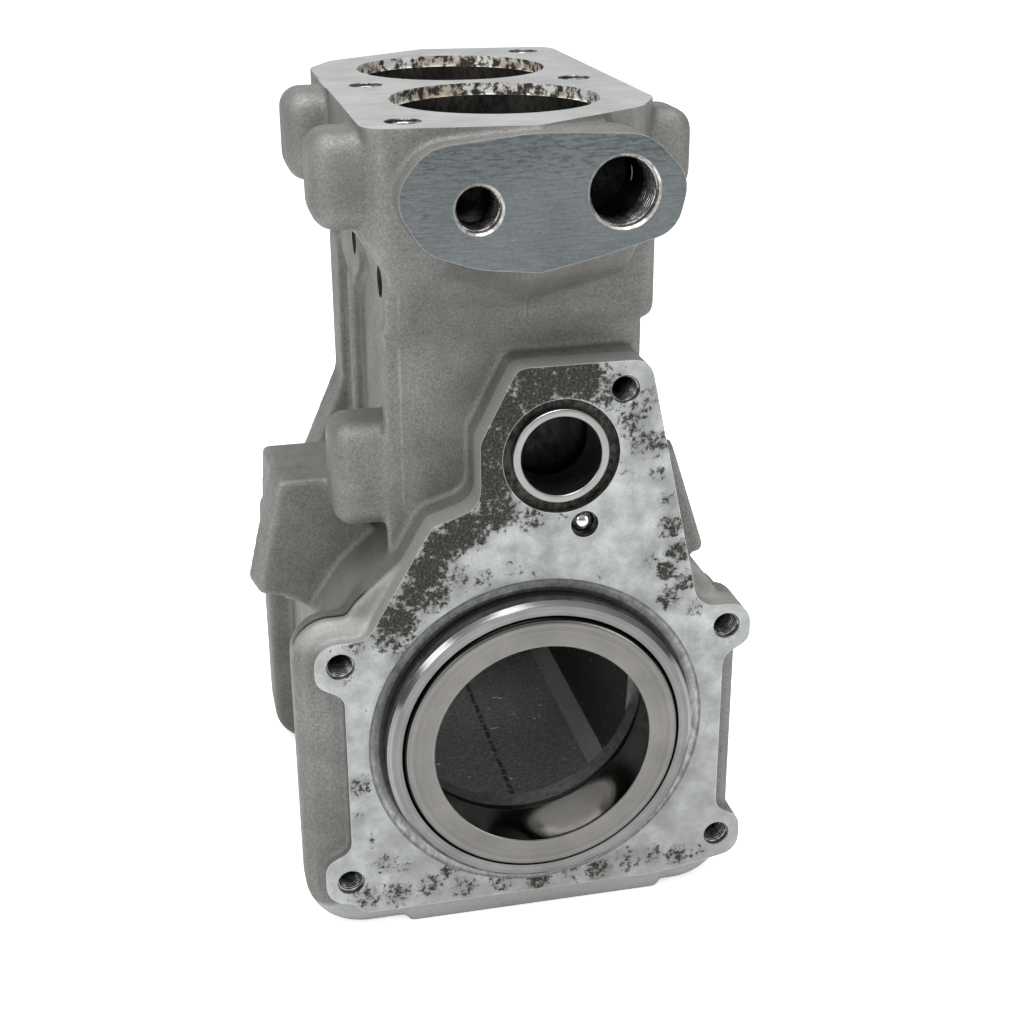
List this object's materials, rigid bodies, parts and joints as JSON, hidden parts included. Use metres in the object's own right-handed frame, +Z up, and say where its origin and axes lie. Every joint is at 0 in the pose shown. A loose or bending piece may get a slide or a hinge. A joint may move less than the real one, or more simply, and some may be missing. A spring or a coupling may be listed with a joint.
{
  "type": "fuel injection pump housing",
  "caption": "Cast aluminium body of an in-line twin-element pump, with tappet bores, flanged bearing end, pressed bearing rings and bush.",
  "frame": {"origin": "the camshaft axis where it passes through the machined front face", "axes": "-Y out of the front face along the camshaft axis, +Z up along the tappet bores, +X to the right seen from the front"},
  "size_m": [0.1256, 0.1571, 0.2087],
  "materials": {
    "casting": "satin",
    "bearing_steel": "satin",
    "ball_steel": "gloss"
  },
  "bodies": {
    "root": {"housing": "casting", "front_bearing_sleeve": "bearing_steel", "front_bearing_cup": "bearing_steel", "rear_bearing_cup": "bearing_steel", "gear_shaft_bush": "bearing_steel", "gallery_ball": "ball_steel"}
  },
  "joints": []
}
